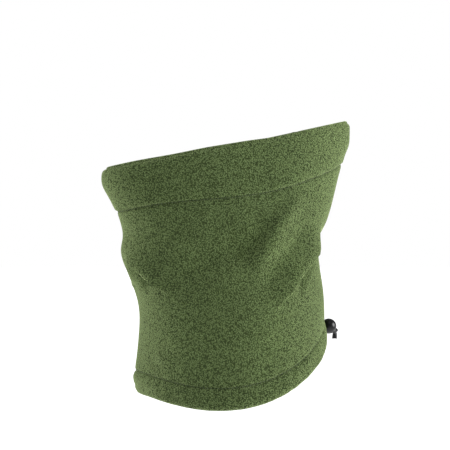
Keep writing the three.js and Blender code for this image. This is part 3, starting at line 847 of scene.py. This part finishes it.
def press_plunger(middle, cords, along):
    """The sprung plunger: a round button with a shallow finger dish and the cords' way across."""
    foot = CORD_WIDTH / 2 + PLAY + PLUNGER_WALL
    length = BUTTON_REACH + foot - (middle.x - cords.x)
    top = middle.x - BUTTON_REACH
    bpy.ops.mesh.primitive_cylinder_add(
        vertices=72, radius=PLUNGER_RADIUS, depth=length, rotation=(0, -math.pi / 2, 0),
        location=(top + length / 2, middle.y, middle.z))
    plunger = name_piece(bpy.context.object, "lock_button")
    bpy.ops.object.mode_set(mode="EDIT")
    bpy.ops.mesh.select_all(action="DESELECT")
    bpy.ops.object.mode_set(mode="OBJECT")
    for face in plunger.data.polygons:
        face.select = face.normal.x < -0.9
    bpy.ops.object.mode_set(mode="EDIT")
    for inset, sink in ((0.5 * MM, -0.45 * MM), (0.4 * MM, 0), (0.5 * MM, 0.22 * MM),
                        (0.8 * MM, 0.2 * MM), (0.9 * MM, 0.1 * MM)):
        bpy.ops.mesh.inset(thickness=inset, depth=0)
        bpy.ops.transform.translate(value=(sink, 0, 0))
    bpy.ops.object.mode_set(mode="OBJECT")
    carve(plunger, rounded_slot(cords - Vector((PRESS_TRAVEL / 2, 0, 0)), along, SLOT_HALF,
                                CORD_WIDTH / 2 + PLAY + PRESS_TRAVEL / 2, 1.2 * MM,
                                2 * BALL_RADIUS))
    round_edges(plunger, 0.25 * MM)
    return plunger


def cord_piece(name, points, closed=False, radius=CORD_WIDTH / 2, sides=4, flare=1.0):
    """A round cord along a smooth route. flare widens its last point, as on a cut end."""
    curve = bpy.data.curves.new(name, "CURVE")
    curve.dimensions = "3D"
    curve.bevel_depth = radius
    curve.bevel_resolution = sides
    curve.resolution_u = 6
    curve.use_fill_caps = True
    spline = curve.splines.new("NURBS")
    spline.points.add(len(points) - 1)
    for point, place in zip(spline.points, points):
        point.co = (*place, 1)
    spline.points[-1].radius = flare
    spline.order_u = 4
    spline.use_cyclic_u = closed
    spline.use_endpoint_u = not closed
    cord = bpy.data.objects.new(name, curve)
    bpy.context.collection.objects.link(cord)
    select_only(cord)
    bpy.ops.object.convert(target="MESH")
    cord = bpy.context.object
    bpy.ops.object.mode_set(mode="EDIT")
    bpy.ops.mesh.select_all(action="SELECT")
    bpy.ops.mesh.remove_doubles(threshold=0.005 * MM)
    bpy.ops.mesh.normals_make_consistent(inside=False)
    bpy.ops.object.mode_set(mode="OBJECT")
    return cord


def overhand_knot(middle, along):
    """Both cords tied together: three lobes wound over and under, pulled tight."""
    side = Vector((1, 0, 0))
    up = along.cross(side)
    points = []
    for i in range(30):
        t = 2 * math.pi * i / 30
        points.append(middle + side * KNOT_LOBE * (math.sin(t) + 2 * math.sin(2 * t))
                      + up * KNOT_LOBE * (math.cos(t) - 2 * math.cos(2 * t))
                      - along * KNOT_LAY * math.sin(3 * t))
    return cord_piece("overhand_knot", points, closed=True, radius=KNOT_CORD)


def lock_strand(name, inside, swing, entry, along, way, off):
    """One cord from inside the casing, out through the eyelet, to the lock's near side."""
    lead = Vector((0, 0, way * CORD_PITCH))
    return cord_piece(f"{name}_strand", [
        inside + lead, swing + lead - Vector((0, 2 * MM, 0)), swing + lead,
        entry + off - along * 1.5 * MM, entry + off, entry + off + along * 1.5 * MM])


def lock_tail(name, entry, cords, knot_middle, along, off):
    """One cord from the lock's near side, through its slot, into the knot."""
    return cord_piece(f"{name}_tail", [
        entry + off + along * 1.4 * MM, cords + off, cords + off + along * 4 * MM,
        knot_middle + off * 0.8 - along * 1.5 * MM, knot_middle])


def cut_end(name, knot_middle, way, bottom):
    """One cut end: out of the knot, down under its weight, and splayed where it was cut."""
    root = knot_middle + Vector((way * 0.8 * MM, way * 0.5 * MM, -1.5 * MM))
    spread = way * 0.8 * MM
    tip = knot_middle + Vector((spread, spread - 0.4 * MM, 0.8 * (bottom - knot_middle.z)))
    middle = root.lerp(tip, 0.5) + Vector((0, way * 0.4 * MM, 0))
    return cord_piece(f"{name}_cut_end", [root, root.lerp(middle, 0.5), middle, tip],
                      radius=KNOT_CORD, flare=1.25)


def rolled_eyelet(low, high, seat):
    """A stamped eyelet: a barrel through the casing's cloth, with its flange rolled outwards."""
    reach = (high.x - low.x) / 2
    proud = high.y
    bore = CORD_PITCH + CORD_WIDTH / 2 + EYELET_PLAY
    flange = [(bore, low.y - proud), (bore, -1.2 * MM), (bore + 0.1 * MM, -0.5 * MM)]
    flange += [(bore + 1.05 * MM + 0.95 * MM * math.cos(a), 0.9 * MM * math.sin(a) - 0.9 * MM)
               for a in np.linspace(math.pi * 0.95, math.pi * 0.35, 8)]
    flange += [(reach - 0.12 * MM, -0.62 * MM), (reach, -0.8 * MM),
               (reach - 0.05 * MM, -0.9 * MM), (bore + 0.3 * MM, -0.92 * MM),
               (bore + 0.3 * MM, low.y - proud)]
    return spin_section("rolled_eyelet", flange, Vector((seat.x, proud, seat.z)),
                        Vector((0, 1, 0)))


def sewn_label(cloth, low, high):
    """A blank satin care label inside the nape, sewn in at its top and free below."""
    columns, rows = 12, 16
    points = []
    for j in range(rows + 1):
        share = j / rows
        z = high.z + (low.z - high.z) * share
        for i in range(columns + 1):
            x = low.x + (high.x - low.x) * i / columns
            turn = math.pi - math.asin(x / CLOTH_REACH)
            face = cloth.face(np.array([turn]), np.array([z]))[0]
            lift = FLEECE + (0.6 + 1.9 * soft_step(share * 2.5) + 0.8 * share**3) * MM
            points.append((x, face[1] - lift, z))
    faces = [(j * (columns + 1) + i, (j + 1) * (columns + 1) + i,
              (j + 1) * (columns + 1) + i + 1, j * (columns + 1) + i + 1)
             for j in range(rows) for i in range(columns)]
    label = mesh_piece("blank_satin_label", points, faces)
    bolt_on(label, "tape thickness", "SOLIDIFY", thickness=0.25 * MM, offset=0)
    return label


# ---------------------------------------------------------------- the stage

TARGET = Vector((0, 0, 0.131))
VIEW_TURN = math.radians(70)
VIEW_RISE = math.radians(-0.6)
VIEW_DISTANCE = 1.1
VIEW_HEIGHT = 0.4275
SENSOR = 36.0
ROOM_LIGHT = 0.42


def camera():
    way = Vector((math.sin(VIEW_TURN) * math.cos(VIEW_RISE),
                  -math.cos(VIEW_TURN) * math.cos(VIEW_RISE), math.sin(VIEW_RISE)))
    bpy.ops.object.camera_add(location=TARGET + way * VIEW_DISTANCE,
                              rotation=way.to_track_quat("Z", "Y").to_euler())
    view = bpy.context.object
    view.data.sensor_width = SENSOR
    view.data.lens = SENSOR * VIEW_DISTANCE / VIEW_HEIGHT
    bpy.context.scene.camera = view


def soft_light(name, turn, rise, distance, size, power):
    """A square soft box turned to the object, placed by its turn round from the chin."""
    way = Vector((math.sin(math.radians(turn)) * math.cos(math.radians(rise)),
                  -math.cos(math.radians(turn)) * math.cos(math.radians(rise)),
                  math.sin(math.radians(rise))))
    bpy.ops.object.light_add(type="AREA", location=TARGET + way * distance,
                             rotation=way.to_track_quat("Z", "Y").to_euler())
    light = bpy.context.object
    light.name = name
    light.data.size = size
    light.data.energy = power


def studio():
    world = bpy.data.worlds.new("studio")
    bpy.context.scene.world = world
    world.use_nodes = True
    backdrop = world.node_tree.nodes["Background"]
    backdrop.inputs["Color"].default_value = linear("#ffffff")
    sight = world.node_tree.nodes.new("ShaderNodeLightPath").outputs["Is Camera Ray"]
    strength = world.node_tree.nodes.new("ShaderNodeMapRange")
    strength.inputs["To Min"].default_value = ROOM_LIGHT
    strength.inputs["To Max"].default_value = 1.0
    world.node_tree.links.new(sight, strength.inputs["Value"])
    world.node_tree.links.new(strength.outputs["Result"], backdrop.inputs["Strength"])
    bpy.ops.mesh.primitive_circle_add(vertices=64, radius=30, fill_type="NGON",
                                      location=(0, 0, -0.7))
    floor = name_piece(bpy.context.object, "studio_floor")
    material = new_material("pale_studio_floor")
    floor.data.materials.append(output(material, add(
        material, "ShaderNodeBsdfPrincipled", Base_Color=linear("#fdfdfd"), Roughness=0.9,
        Emission_Color=linear("#ffffff"), Emission_Strength=1.3 - ROOM_LIGHT)))
    soft_light("nape_side_box", 152, 12, 1.4, 0.8, 32)
    soft_light("chin_side_box", -22, 34, 1.4, 0.8, 16)
    soft_light("overhead_box", 70, 62, 1.5, 1.0, 4)


# ---------------------------------------------------------------- build

bpy.context.scene.view_settings.view_transform = "Standard"
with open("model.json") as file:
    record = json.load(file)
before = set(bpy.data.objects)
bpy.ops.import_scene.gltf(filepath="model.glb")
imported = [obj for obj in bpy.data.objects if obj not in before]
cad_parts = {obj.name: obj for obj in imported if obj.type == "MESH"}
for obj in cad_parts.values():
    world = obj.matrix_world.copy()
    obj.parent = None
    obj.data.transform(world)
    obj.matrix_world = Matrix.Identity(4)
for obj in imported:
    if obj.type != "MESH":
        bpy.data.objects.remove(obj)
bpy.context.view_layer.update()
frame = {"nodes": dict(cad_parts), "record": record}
nodes = frame["nodes"]

fleece, thread = fleece_material(), thread_material()
cord, acetal, brass = cord_material(), acetal_material(), brass_material()
steel, satin = steel_material(), satin_material()

eyelet_low, eyelet_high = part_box("cord_eyelet")
eyelet_seat = (eyelet_low + eyelet_high) / 2
eyelet_seat.y = eyelet_high.y - EYELET_PROUD
cloth = Cloth(Tube(nodes["fleece_tube"]), eyelet_seat)
panel = fleece_panel(cloth)
cut_eyelet_hole(panel, eyelet_seat)
thicken_panel(panel)
finish_piece(panel, "gaiter", fleece, 60)
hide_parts("fleece_tube")

stitch = one_stitch(STITCH_LENGTH, THREAD)
top_row = hem_stitches("top_hem_stitches", cloth, stitch,
                       lambda turn: cloth.tube.high(turn) - hem_depth(turn))
low_row = hem_stitches("casing_stitches", cloth, stitch,
                       lambda turn: cloth.tube.low(turn) + LOW_HEM)
bpy.data.objects.remove(stitch)
for row, node in ((top_row, "top_hem_thread"), (low_row, "low_hem_thread")):
    finish_piece(row, "gaiter", thread, 60)
    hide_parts(node)

joints = {joint["name"]: joint for joint in frame["record"]["behaviour"]["joints"]}
along = Vector(joints["cord_draw"]["axis"]).normalized()
ball_low, ball_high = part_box("lock_barrel")
ball_middle = (ball_low + ball_high) / 2
ball_middle.x = ball_high.x - BALL_RADIUS
cords = ball_middle - Vector((CORD_OFFSET, 0, 0))
stack = Vector((1, 0, 0)).cross(along)
stack = stack if stack.z > 0 else -stack

finish_piece(lock_ball(ball_middle, cords, along), "lock", acetal, 30)
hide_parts("lock_barrel")
finish_piece(press_plunger(ball_middle, cords, along), "plunger", acetal, 30)
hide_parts("lock_plunger")

ring = rolled_eyelet(eyelet_low, eyelet_high, eyelet_seat)
finish_piece(ring, "gaiter", brass, 40)
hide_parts("cord_eyelet")

knot_low, knot_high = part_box("cord_knot")
knot_middle = (knot_low + knot_high) / 2
knot = overhand_knot(knot_middle, along)
finish_piece(knot, "knot", cord, 40)
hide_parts("cord_knot")

swing = Vector(joints["toggle_swing"]["pos_m"])
inside = Vector((0, eyelet_low.y, eyelet_seat.z))
entry = cords - along * BALL_RADIUS
for name, way in (("left", 1), ("right", -1)):
    off = stack * way * CORD_PITCH
    strand = lock_strand(name, inside, swing, entry, along, way, off)
    finish_piece(strand, None, cord, 50)
    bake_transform(strand)
    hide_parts(f"{name}_cord_strand")
    tail = lock_tail(name, entry, cords, knot_middle, along, off)
    finish_piece(tail, None, cord, 50)
    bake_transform(tail)
    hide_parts(f"{name}_cord_tail")
    end = cut_end(name, knot_middle, way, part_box(f"{name}_cord_end")[0].z)
    finish_piece(end, "knot", cord, 50)
    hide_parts(f"{name}_cord_end")

label = sewn_label(cloth, *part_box("care_label"))
finish_piece(label, "gaiter", satin, 40)
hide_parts("care_label")

for name, material in {"back_seam_thread": thread, "eyelet_washer": brass, "drawcord": cord,
                       "lock_spring": steel}.items():
    nodes[name].data.materials.clear()
    nodes[name].data.materials.append(material)

studio()
camera()
